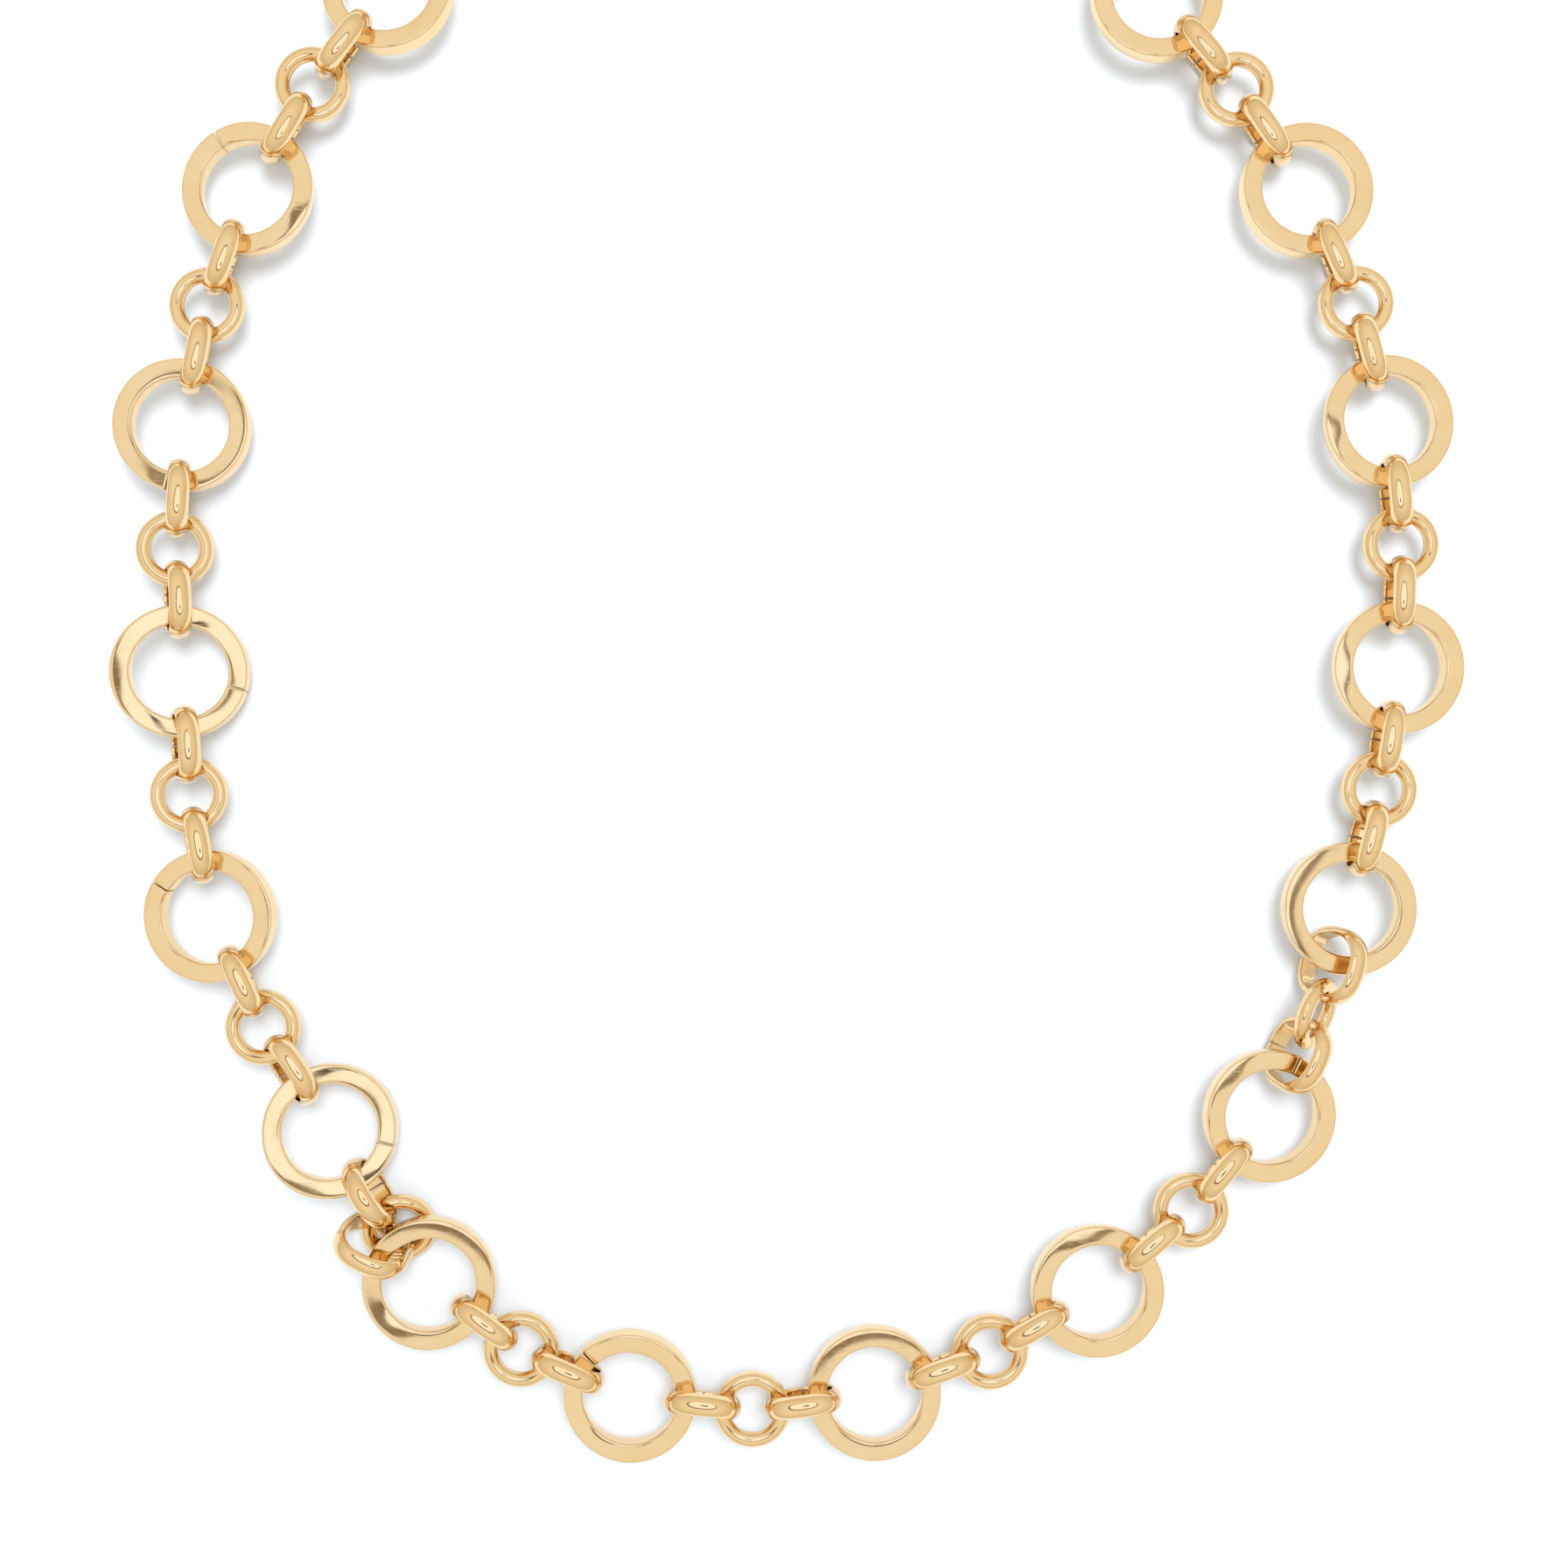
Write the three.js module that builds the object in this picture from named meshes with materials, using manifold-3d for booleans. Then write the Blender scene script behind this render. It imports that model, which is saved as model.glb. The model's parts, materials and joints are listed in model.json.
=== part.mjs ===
// Chain necklace. Large flat rings of square wire and small flat rings of round wire lie in turn,
// a half-round connector link standing on its edge holds each ring to the next, and a jump ring
// holds a lobster clasp to the left end. Millimetres, +Z up, +X across the chest, +Y to the nape.
import * as THREE from 'three';
import { mergeVertices } from 'three/addons/utils/BufferGeometryUtils.js';
import Module from 'manifold-3d';

// Driving dimensions of the chain
const LARGE_COUNT = 19;
const LARGE_OUTER = 12.0;
const LARGE_WIRE = 1.74;
const SMALL_OUTER = 6.85;
const SMALL_WIRE = 1.36;
const LINK_OUTER = 7.1;
const LINK_THICK = 0.78;
const LINK_EDGE = 0.3;
const LINK_WIDTH = 1.94;

// Distance of each ring's wire from the middle of the link that holds it. A link that is one body
// with its small ring is pressed 0.08 into that ring's wire.
const LARGE_SEAT = 1.42;
const SMALL_SEAT = 1.8;
const PRESSED_SEAT = 1.96;

// Driving dimensions of the clasp
const JUMP_OUTER = 7.0;
const JUMP_WIRE = 1.2;
const EYE_OUTER = 2.3;
const EYE_HOLE = 1.15;
const EYE_THICK = 1.5;
const CLASP_THICK = 3.0;
const SLOT = 1.7;
const TRIGGER_THICK = 1.3;
const PIN = 1.0;
const PIN_PLAY = 0.08;
const PIVOT = [5.0, 1.1];
const SPRING_AT = [3.25, 0.9, 0];
const SPRING_RADIUS = 0.42;
const SPRING_WIRE = 0.3;
const JUMP_SEAT = 1.05;
const EYE_SEAT = 0.95;
const PRESS = 14;
const CLASP_HEIGHT = 3.0;
const CLASP_PITCH = 5.6;
const CLASP_HEADING = 16;

// Facets round a ring and round a wire
const LARGE_SIDES = 32;
const SMALL_SIDES = 16;
const LINK_SIDES = 16;
const WIRE_SIDES = 6;

// The lay of the chain: the line through the ring centres, from the clasp end on the left down
// over the chest and up to the free end on the right, and the point of it at the middle ring.
const LAY = [
  [10, 97], [-6, 94], [-23, 86.5], [-36.5, 72], [-48.5, 54.5], [-54.5, 32.5], [-54.5, 10.5],
  [-51.5, -12], [-40.5, -31], [-31.5, -44.5], [-12.5, -54.5], [8, -53.8], [27.8, -44.8],
  [43.5, -29], [50.2, -12], [55, 9.8], [54.5, 32.5], [47.5, 53.5], [34, 71.5],
  [19, 86], [6, 97],
];
const MIDDLE_RING = 20;
const MIDDLE_POINT = 11;
const CURVE_STEP = 0.00002;

// Spacings that hang slack, by the number of the ring before the gap
const SLACK = { 14: 10.6, 15: 5.8, 16: 10.2, 17: 10.7, 24: 10.1, 25: 9.9 };
// Roll of a ring about the line of the chain, in degrees, inner side up when positive
const ROLL = {
  4: 6, 6: 5, 8: -6, 9: -10, 10: -20, 11: -10, 12: 6, 14: -18, 18: 5, 22: 4, 24: 6, 25: 54, 28: 5, 30: 7, 32: 4, 34: 6,
};
// Lean of each link about the line of the chain, in degrees, top outwards when positive
const LEAN = [
  -20, -22, -18, -22, -17, -19, -18, -18, -18, -23, -24, -20, -15, -26, 0, 0, -15, -11,
  -16, -11, -14, -14, -15, -15, 24, 28, -6, -8, -9, -10, -15, -16, -14, -14, -16, -12,
];
// Where a small ring has slipped under the next large ring and its second link has fallen over.
// Each vector is measured along the chain, inwards and up, from the large ring's centre.
// firstSeat is the distance of the large ring before it from the middle of its link.
const SLIP_RING = 15;
const SLIP = {
  ringAt: [-5.46, -0.17, -1.75],
  ringFace: [0.37, -0.01, 0.93],
  largeFace: [0.08, 0.04, 1],
  firstSeat: 1.56,
  linkAt: [-5.54, -2.42, 0.02],
  linkFace: [-0.49, 0.79, 0.38],
};

// The small ring that has turned up on its edge
const TWIST_RING = 25;

// How far the joints turn each way, in degrees
const FOLD = 30;
const SLIP_FOLD = 5;
const TWIST_FOLD = 16;

const up = new THREE.Vector3(0, 0, 1);
const rad = THREE.MathUtils.degToRad;
const largeRadius = (LARGE_OUTER - LARGE_WIRE) / 2;
const smallRadius = (SMALL_OUTER - SMALL_WIRE) / 2;
const linkInner = LINK_OUTER / 2 - LINK_THICK;
const ringHeight = LINK_OUTER / 2;
const reach = LARGE_SEAT + SMALL_SEAT;
const pitch = largeRadius + reach + smallRadius;
const ringCount = 2 * LARGE_COUNT - 1;

const wasm = await Module();
wasm.setup();

function solid(mesh) {
  mesh.updateMatrixWorld(true);
  let geometry = mesh.geometry.clone().applyMatrix4(mesh.matrixWorld);
  geometry.deleteAttribute('normal');
  geometry.deleteAttribute('uv');
  geometry = mergeVertices(geometry, 1e-5);
  return new wasm.Manifold(new wasm.Mesh({
    numProp: 3,
    vertProperties: Float32Array.from(geometry.attributes.position.array),
    triVerts: Uint32Array.from(geometry.index.array),
  }));
}

function geometryOf(manifold) {
  const made = manifold.getMesh();
  const geometry = new THREE.BufferGeometry();
  geometry.setAttribute('position', new THREE.BufferAttribute(made.vertProperties, 3));
  geometry.setIndex(new THREE.BufferAttribute(made.triVerts, 1));
  geometry.computeVertexNormals();
  return geometry;
}

function named(name, geometry, color, roughness) {
  const mesh = new THREE.Mesh(geometry, new THREE.MeshStandardMaterial({ color, roughness, metalness: 1 }));
  mesh.name = name;
  return mesh;
}

function numbered(name, n) {
  return name + '_' + String(n).padStart(2, '0');
}

// A closed ring about Z from a closed profile of [radius, height] points
function ringOf(profile, sides) {
  const points = [...profile, profile[0]].map(([r, h]) => new THREE.Vector2(r, h));
  return new THREE.LatheGeometry(points, sides).rotateX(Math.PI / 2);
}

function largeRing() {
  const outer = LARGE_OUTER / 2;
  const inner = outer - LARGE_WIRE;
  const half = LARGE_WIRE / 2;
  return ringOf([[inner, -half], [outer, -half], [outer, half], [inner, half]], LARGE_SIDES);
}

function roundRing(radius, wire, sides) {
  const profile = Array.from({ length: WIRE_SIDES }, (_, i) => {
    const a = (2 * Math.PI * i) / WIRE_SIDES;
    return [radius + (wire / 2) * Math.cos(a), (wire / 2) * Math.sin(a)];
  });
  return ringOf(profile, sides);
}

// Half-round band, flat inside and domed outside
function linkBand() {
  const half = LINK_WIDTH / 2;
  const inner = linkInner / Math.cos(Math.PI / LINK_SIDES);
  const edge = inner + LINK_EDGE;
  const crown = LINK_OUTER / 2;
  const shoulder = edge + 0.72 * (crown - edge);
  return ringOf([
    [inner, -half], [edge, -half], [shoulder, -half * 0.6],
    [crown, 0], [shoulder, half * 0.6], [edge, half], [inner, half],
  ], LINK_SIDES);
}

// Stands a mesh at a place, its X nearest to along and its Z on face
function stand(mesh, centre, along, face) {
  const z = face.clone().normalize();
  const y = new THREE.Vector3().crossVectors(z, along).normalize();
  const x = new THREE.Vector3().crossVectors(y, z);
  mesh.position.copy(centre);
  mesh.quaternion.setFromRotationMatrix(new THREE.Matrix4().makeBasis(x, y, z));
  return mesh;
}

// Ring centres at their spacings along the lay, counted out both ways from the middle ring
function ringCentres() {
  const points = LAY.map(([x, y]) => new THREE.Vector3(x, y, ringHeight));
  const lay = new THREE.CatmullRomCurve3(points, false, 'centripetal');
  const start = MIDDLE_POINT / (LAY.length - 1);
  const found = [];
  found[MIDDLE_RING] = lay.getPoint(start);
  for (const way of [-1, 1]) {
    let t = start;
    for (let k = MIDDLE_RING; k + way >= 0 && k + way < ringCount; k += way) {
      const gap = SLACK[Math.min(k, k + way)] ?? pitch;
      while (lay.getPoint(t).distanceTo(found[k]) < gap) t += way * CURVE_STEP;
      found[k + way] = lay.getPoint(t);
    }
  }
  return found;
}

// Every ring's and link's place: centre, the way the chain runs there, and the ring's own axis
const centres = ringCentres();
const ringPlaces = centres.map((centre, k) => {
  const before = centres[Math.max(k - 1, 0)];
  const after = centres[Math.min(k + 1, ringCount - 1)];
  const along = new THREE.Vector3().subVectors(after, before).normalize();
  return { centre, along, face: up.clone().applyAxisAngle(along, rad(ROLL[k] ?? 0)) };
});

function slipWorld([along, inward, height]) {
  const run = new THREE.Vector3().subVectors(centres[SLIP_RING + 1], centres[SLIP_RING - 1]).normalize();
  return run.clone().multiplyScalar(along)
    .addScaledVector(new THREE.Vector3().crossVectors(up, run), inward)
    .addScaledVector(up, height);
}

const slipLarge = centres[SLIP_RING + 1];
ringPlaces[SLIP_RING].centre = slipLarge.clone().add(slipWorld(SLIP.ringAt));
ringPlaces[SLIP_RING].face = slipWorld(SLIP.ringFace);
ringPlaces[SLIP_RING + 1].face = slipWorld(SLIP.largeFace);

// The point of a ring's wire line nearest to a place, and the way the wire runs there
function nearestOnRing(k, place) {
  const radius = k % 2 ? smallRadius : largeRadius;
  const face = ringPlaces[k].face.clone().normalize();
  const out = new THREE.Vector3().subVectors(place, ringPlaces[k].centre).projectOnPlane(face).normalize();
  return {
    at: ringPlaces[k].centre.clone().addScaledVector(out, radius),
    wire: new THREE.Vector3().crossVectors(face, out),
  };
}

const linkPlaces = centres.slice(1).map((_, k) => {
  const from = ringPlaces[k].centre;
  const to = ringPlaces[k + 1].centre;
  const along = new THREE.Vector3().subVectors(to, from).setZ(0).normalize();
  const here = nearestOnRing(k, to).at;
  const there = nearestOnRing(k + 1, from).at;
  const slack = (reach - here.clone().setZ(0).distanceTo(there.clone().setZ(0))) / 2;
  const seat = k % 2 ? PRESSED_SEAT : LARGE_SEAT - slack;
  const centre = here.clone().addScaledVector(along, seat).setZ(ringHeight);
  const inward = new THREE.Vector3().crossVectors(up, along);
  return { centre, along, face: inward.applyAxisAngle(along, rad(LEAN[k])) };
});
const slipLink = linkPlaces[SLIP_RING - 1];
slipLink.centre = centres[SLIP_RING - 1].clone()
  .addScaledVector(slipLink.along, largeRadius + SLIP.firstSeat);
linkPlaces[SLIP_RING].centre = slipLarge.clone().add(slipWorld(SLIP.linkAt));
linkPlaces[SLIP_RING].face = slipWorld(SLIP.linkFace);

const necklace = new THREE.Group();
const placed = (name, geometry, { centre, along, face }) => (
  stand(named(name, geometry, 0xf0cd8c, 0.18), centre, along, face)
);

for (let k = 0; k < ringCount; k += 2) {
  necklace.add(placed(numbered('large_ring', k / 2 + 1), largeRing(), ringPlaces[k]));
}
for (let k = 0; k + 1 < ringCount; k += 2) {
  necklace.add(placed(numbered('link', k / 2 + 1), linkBand(), linkPlaces[k]));
}
for (let k = 1; k < ringCount; k += 2) {
  const small = placed('small', roundRing(smallRadius, SMALL_WIRE, SMALL_SIDES), ringPlaces[k]);
  const link = placed('link', linkBand(), linkPlaces[k]);
  const joined = geometryOf(solid(small).add(solid(link)));
  necklace.add(named(numbered('small_ring_with_link', (k + 1) / 2), joined, 0xefc682, 0.2));
}

// Clasp parts lie in the clasp's own frame: eye at the origin, nose along +X, gate side +Y
function plate(shape, thick) {
  return new THREE.ExtrudeGeometry(shape, { depth: thick, bevelEnabled: false, curveSegments: 6 })
    .translate(0, 0, -thick / 2);
}

function rod(radius, length, sides = 12) {
  return new THREE.CylinderGeometry(radius, radius, length, sides).rotateX(Math.PI / 2);
}

function claspBody() {
  const claw = new THREE.Shape();
  claw.moveTo(1.3, 1.5);
  claw.quadraticCurveTo(3.2, 3.6, 5.2, 3.1);
  claw.quadraticCurveTo(6.6, 2.8, 6.6, 1.2);
  claw.quadraticCurveTo(6.6, -2.2, 9.8, -2.2);
  claw.quadraticCurveTo(12.6, -2.2, 12.8, 0.6);
  claw.lineTo(13.0, 2.1);
  claw.lineTo(12.3, 3.0);
  claw.quadraticCurveTo(13.8, 3.6, 14.6, 2.4);
  claw.quadraticCurveTo(15.6, 0.4, 14.4, -2.0);
  claw.quadraticCurveTo(12.8, -4.4, 9.4, -4.3);
  claw.quadraticCurveTo(5.0, -4.1, 1.3, -1.5);
  const eye = new THREE.Shape();
  eye.absarc(0, 0, EYE_OUTER, 0, 2 * Math.PI);
  const slot = new THREE.Mesh(new THREE.BoxGeometry(5.4, 6, SLOT));
  slot.position.set(5.2, 2.6, 0);
  const hole = new THREE.Mesh(rod(EYE_HOLE, CLASP_THICK * 2, 16));
  const bore = new THREE.Mesh(rod(PIN / 2 + PIN_PLAY, CLASP_THICK * 2));
  bore.position.set(...PIVOT, 0);
  return geometryOf(solid(new THREE.Mesh(plate(claw, CLASP_THICK)))
    .add(solid(new THREE.Mesh(plate(eye, EYE_THICK))))
    .subtract(solid(slot)).subtract(solid(hole)).subtract(solid(bore)));
}

function claspTrigger() {
  const lever = new THREE.Shape();
  lever.moveTo(3.9, 0.6);
  lever.lineTo(5.4, 0.5);
  lever.quadraticCurveTo(9, 1.3, 12.4, 1.0);
  lever.lineTo(12.4, 1.9);
  lever.lineTo(11.9, 2.6);
  lever.quadraticCurveTo(9, 2.9, 6.9, 2.7);
  lever.lineTo(6.6, 4.4);
  lever.quadraticCurveTo(5.6, 5.0, 5.0, 4.2);
  lever.quadraticCurveTo(4.6, 2.6, 3.9, 2.0);
  const bore = new THREE.Mesh(rod(PIN / 2 + PIN_PLAY, CLASP_THICK * 2));
  bore.position.set(...PIVOT, 0);
  return geometryOf(solid(new THREE.Mesh(plate(lever, TRIGGER_THICK))).subtract(solid(bore)));
}

const claspEnd = ringPlaces[0];
const heading = new THREE.Vector3(Math.cos(rad(CLASP_HEADING)), Math.sin(rad(CLASP_HEADING)), 0);
const jumpInner = JUMP_OUTER / 2 - JUMP_WIRE;
const jumpPlace = {
  centre: claspEnd.centre.clone().addScaledVector(heading, largeRadius + JUMP_SEAT).setZ(JUMP_OUTER / 2),
  along: heading,
  face: new THREE.Vector3().crossVectors(up, heading),
};
const jump = placed('clasp_jump_ring', roundRing(jumpInner + JUMP_WIRE / 2, JUMP_WIRE, SMALL_SIDES), jumpPlace);
necklace.add(jump);

const clasp = new THREE.Group();
const eyeReach = EYE_SEAT + (EYE_OUTER + EYE_HOLE) / 2;
clasp.position.copy(jumpPlace.centre).addScaledVector(heading, eyeReach).setZ(CLASP_HEIGHT);
clasp.rotation.set(0, rad(CLASP_PITCH), rad(CLASP_HEADING), 'ZYX');
clasp.add(named('clasp_body', claspBody(), 0xefc682, 0.2));
clasp.add(named('clasp_trigger', claspTrigger(), 0xefc682, 0.22));
const pin = named('clasp_pin', rod(PIN / 2, CLASP_THICK + 0.3), 0xe6bd78, 0.25);
pin.position.set(...PIVOT, 0);
clasp.add(pin);
const spring = named('clasp_spring', roundRing(SPRING_RADIUS, SPRING_WIRE, 12).rotateX(Math.PI / 2), 0xd9d9dc, 0.3);
spring.position.set(...SPRING_AT);
clasp.add(spring);
necklace.add(clasp);

// The part's origin is under the middle of its box
necklace.updateMatrixWorld(true);
const box = new THREE.Box3().setFromObject(necklace, true);
const shift = new THREE.Vector3(-(box.min.x + box.max.x) / 2, -(box.min.y + box.max.y) / 2, -box.min.z);
for (const child of necklace.children) {
  if (child.name.startsWith('small_ring_with_link')) child.geometry.translate(shift.x, shift.y, shift.z);
  else child.position.add(shift);
}

// Joint axes: each piece turns about the wire of the ring beside it, out from the middle ring
function foldRange(k) {
  if (Math.abs(k - SLIP_RING) < 1.5) return SLIP_FOLD;
  if (Math.abs(k - TWIST_RING) < 1.5) return TWIST_FOLD;
  return FOLD;
}

const joints = [];
function hinge(child, parent, at, axis, low, high) {
  joints.push({ child, parent, at: at.clone().add(shift).toArray(), axis: axis.toArray(), low, high });
}

function ringNode(k) {
  return k % 2 ? numbered('small_ring_with_link', (k + 1) / 2) : numbered('large_ring', k / 2 + 1);
}

for (let k = 0; k + 1 < ringCount; k++) {
  const rightward = k >= MIDDLE_RING;
  const ends = [k, k + 1].map((n) => nearestOnRing(n, linkPlaces[k].centre));
  const inward = new THREE.Vector3().crossVectors(up, linkPlaces[k].along);
  ends.forEach((end) => {
    if (end.wire.dot(inward) < 0) end.wire.negate();
  });
  const unit = Math.abs(k - MIDDLE_RING + (rightward ? 0 : 1)) >> 1;
  const sign = unit % 2 ? -1 : 1;
  const turn = foldRange(k);
  if (k % 2) {
    // the link is one body with the small ring before it, so it has only its far end's joint
    const [child, parent] = rightward ? [ringNode(k + 1), ringNode(k)] : [ringNode(k), ringNode(k + 1)];
    hinge(child, parent, ends[1].at, ends[1].wire.multiplyScalar(sign), -turn, turn);
  } else {
    const link = numbered('link', k / 2 + 1);
    const nearLarge = ends[0].wire.clone().multiplyScalar(sign);
    const nearSmall = ends[1].wire.clone().multiplyScalar(-sign);
    const twisted = Math.abs(k + 1 - TWIST_RING) < 0.5 ? 1 : 2;
    if (rightward) {
      hinge(link, ringNode(k), ends[0].at, nearLarge, -turn, turn);
      hinge(ringNode(k + 1), link, ends[1].at, nearSmall, -twisted * turn, twisted * turn);
    } else {
      hinge(link, ringNode(k + 1), ends[1].at, nearSmall, -twisted * turn, twisted * turn);
      hinge(ringNode(k), link, ends[0].at, nearLarge, -turn, turn);
    }
  }
}
const jumpHeld = nearestOnRing(0, jumpPlace.centre);
hinge('clasp_jump_ring', 'large_ring_01', jumpHeld.at, jumpHeld.wire.negate(), -FOLD, FOLD);
const claspWay = new THREE.Vector3(0, 0, 1).applyEuler(clasp.rotation);
const across = new THREE.Vector3().crossVectors(up, heading);
const eyeAt = jumpPlace.centre.clone().addScaledVector(heading, EYE_SEAT).setZ(CLASP_HEIGHT);
hinge('clasp_body', 'clasp_jump_ring', eyeAt, across, -FOLD, FOLD);
const pivotAt = new THREE.Vector3(...PIVOT, 0).applyEuler(clasp.rotation).add(clasp.position).sub(shift);
hinge('clasp_trigger', 'clasp_body', pivotAt, claspWay, -PRESS, 0);
necklace.userData.joints = joints;

export default necklace;
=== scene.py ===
import json
import math

import bpy
import numpy as np
from mathutils import Matrix, Vector

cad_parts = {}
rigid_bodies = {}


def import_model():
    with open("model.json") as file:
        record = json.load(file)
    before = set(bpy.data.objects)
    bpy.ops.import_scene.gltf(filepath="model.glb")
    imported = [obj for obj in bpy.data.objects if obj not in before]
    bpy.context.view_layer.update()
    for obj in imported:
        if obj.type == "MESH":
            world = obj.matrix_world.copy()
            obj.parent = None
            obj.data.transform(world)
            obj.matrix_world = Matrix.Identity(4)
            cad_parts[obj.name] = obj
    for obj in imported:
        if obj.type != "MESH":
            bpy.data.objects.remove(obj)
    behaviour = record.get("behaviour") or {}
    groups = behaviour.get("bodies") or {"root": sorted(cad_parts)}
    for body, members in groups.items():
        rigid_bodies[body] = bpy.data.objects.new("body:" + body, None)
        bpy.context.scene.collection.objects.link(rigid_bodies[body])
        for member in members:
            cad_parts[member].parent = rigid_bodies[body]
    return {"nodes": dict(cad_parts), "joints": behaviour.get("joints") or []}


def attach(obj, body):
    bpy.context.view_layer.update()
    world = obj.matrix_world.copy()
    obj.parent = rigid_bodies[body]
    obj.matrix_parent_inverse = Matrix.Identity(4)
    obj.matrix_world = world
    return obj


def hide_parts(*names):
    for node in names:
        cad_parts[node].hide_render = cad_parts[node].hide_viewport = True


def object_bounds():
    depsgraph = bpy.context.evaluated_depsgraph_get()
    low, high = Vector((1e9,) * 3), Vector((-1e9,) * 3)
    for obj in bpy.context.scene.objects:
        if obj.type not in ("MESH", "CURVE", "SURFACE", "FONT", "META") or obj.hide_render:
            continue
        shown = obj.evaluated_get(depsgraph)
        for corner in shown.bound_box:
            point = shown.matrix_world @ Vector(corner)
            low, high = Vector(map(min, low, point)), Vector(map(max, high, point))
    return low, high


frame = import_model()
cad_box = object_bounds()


# The nineteen large rings are square brass wire with softened corners, coiled, cut and plated pale gold.
# Each is closed by a butt joint that isn't soldered, so a fine dark line crosses the wire there.
# The wire rolls a few degrees here and there as it is bent, and its faces carry fine handling scratches.
MM = 0.001
LARGE_RADIUS = 5.11
LARGE_WIRE = 1.74
LARGE_CORNER = 0.25
LARGE_CROWN = 0.012
LARGE_STEPS = 144
BUTT_GAP = 0.09
# Distance from the saw cut, and how much of the full section is left there.
CUT_EDGE = [(0.0, 0.91), (0.03, 0.965), (0.09, 1.0)]
LARGE_GOLD = (0.87, 0.65, 0.37)
LARGE_GOLD_WORN = (0.86, 0.62, 0.33)
LARGE_GLOSS = (0.06, 0.13)
LARGE_JOINTS = {4: 120, 5: 257, 6: 344, 7: 148, 8: 346, 10: 134}
# Where round each ring the wire rolls most, and by how many degrees its top face leans outwards there.
LARGE_ROLLS = {
    3: (300, -3.0), 4: (345, 11.0), 5: (200, -1.5), 6: (140, -8.5), 7: (20, 2.0), 8: (190, -9.0),
    9: (215, -9.0), 10: (215, -9.0), 11: (90, 1.5), 12: (95, 8.0), 13: (130, 8.5), 14: (135, 3.0),
    15: (175, 10.0), 16: (175, 9.5), 17: (60, 1.5), 18: (225, 8.0),
}
# Which way a leaning ring's wire was turned back towards level as it was bent, and by how many degrees.
LARGE_LEVELS = {4: (154, 5), 5: (0, 4), 6: (0, 15), 8: (32, 14), 16: (10, 6)}
ROLL_SPREAD = 38
RIPPLE = 0.9


def axes_of(centre, x, y, z):
    place = Matrix([x, y, z]).transposed().to_4x4()
    place.translation = Vector(centre)
    return place


def ring_axes(centre, axis, along):
    z = Vector(axis).normalized()
    x = Vector(along) - Vector(along).dot(z) * z
    x.normalize()
    return axes_of(centre, x, z.cross(x), z)


def node_points(node):
    vertices = frame["nodes"][node].data.vertices
    points = np.empty(len(vertices) * 3)
    vertices.foreach_get("co", points)
    return points.reshape(-1, 3) / MM


def ring_of(node):
    points = node_points(node)
    centre = points.mean(0)
    directions = np.linalg.eigh(np.cov((points - centre).T))[1]
    return centre, directions[:, 0]


def corner_arc(out, up, radius, start, stop, count):
    turns = np.radians(np.linspace(start, stop, count))
    return [(out + radius * math.cos(t), up + radius * math.sin(t)) for t in turns]


def square_section(side, corner, crown):
    half = side / 2
    inner = half - corner
    points = []
    for quarter in range(4):
        turn = math.radians(90 * quarter)
        face = [(half + crown * (1 - (s / inner) ** 2), s) for s in np.linspace(-inner, inner, 7)[1:-1]]
        for out, up in face + corner_arc(inner, inner, corner, 0, 90, 6):
            x = out * math.cos(turn) - up * math.sin(turn)
            points.append((x, out * math.sin(turn) + up * math.cos(turn)))
    return points


def bent_wire(radius, section, steps, joint, gap, roll, oval=2.0):
    section = np.array(section)
    joint = math.radians(joint)
    span = 2 * math.pi - gap / radius
    middle = [(s, 1.0) for s in np.linspace(0, span * radius, steps + 1)[1:-1]]
    finish = [(span * radius - s, scale) for s, scale in reversed(CUT_EDGE)]
    rows, uvs = [], []
    around = np.r_[0, np.cumsum(np.linalg.norm(np.roll(section, -1, 0) - section, axis=1))]
    for distance, scale in CUT_EDGE + middle + finish:
        angle = joint + gap / 2 / radius + distance / radius
        tilt = math.radians(roll(math.degrees(angle)))
        out = (section[:, 0] * math.cos(tilt) + section[:, 1] * math.sin(tilt)) * scale
        up = (section[:, 1] * math.cos(tilt) - section[:, 0] * math.sin(tilt)) * scale
        squared = (abs(math.cos(angle)) ** oval + abs(math.sin(angle)) ** oval) ** (-1 / oval)
        reach = (radius + out) * squared
        rows.append(np.c_[reach * math.cos(angle), reach * math.sin(angle), up])
        uvs.append(distance)
    count = len(section)
    faces, corners = [], []
    for i in range(len(rows) - 1):
        for j in range(count):
            k = (j + 1) % count
            faces.append((i * count + j, (i + 1) * count + j, (i + 1) * count + k, i * count + k))
            corners += [(uvs[i], around[j]), (uvs[i + 1], around[j]),
                        (uvs[i + 1], around[j + 1]), (uvs[i], around[j + 1])]
    last = (len(rows) - 1) * count
    faces.append(tuple(range(count)))
    faces.append(tuple(last + j for j in reversed(range(count))))
    corners += [(0, around[j]) for j in range(count)] + [(0, around[j]) for j in range(count)]
    return np.vstack(rows), faces, corners


def piece_from(name, points, faces, corners, place, body, stands_for, material, slot):
    mesh = bpy.data.meshes.new(name)
    placed = [place @ (Vector(p) * MM) for p in points]
    mesh.from_pydata(placed, [], faces)
    layer = mesh.uv_layers.new(name="wire")
    layer.data.foreach_set("uv", np.array(corners, float).ravel())
    for face in mesh.polygons:
        face.use_smooth = len(face.vertices) == 4
    mesh.materials.append(material)
    piece = bpy.data.objects.new(name, mesh)
    bpy.context.scene.collection.objects.link(piece)
    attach(piece, body)
    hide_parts(stands_for)
    return piece


TONE_GRAIN = 320
SMEAR_GRAIN = 900
# The turns of three sets of scratches in degrees, and how fine each set is.
SCRATCHES = [((20, 15, 25), 420), ((-25, 10, -50), 560), ((10, -30, 95), 360)]
SCRATCH_WIDTH = 0.012
BUMP_STRENGTH = 0.12
BUMP_DEPTH = 0.01


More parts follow.
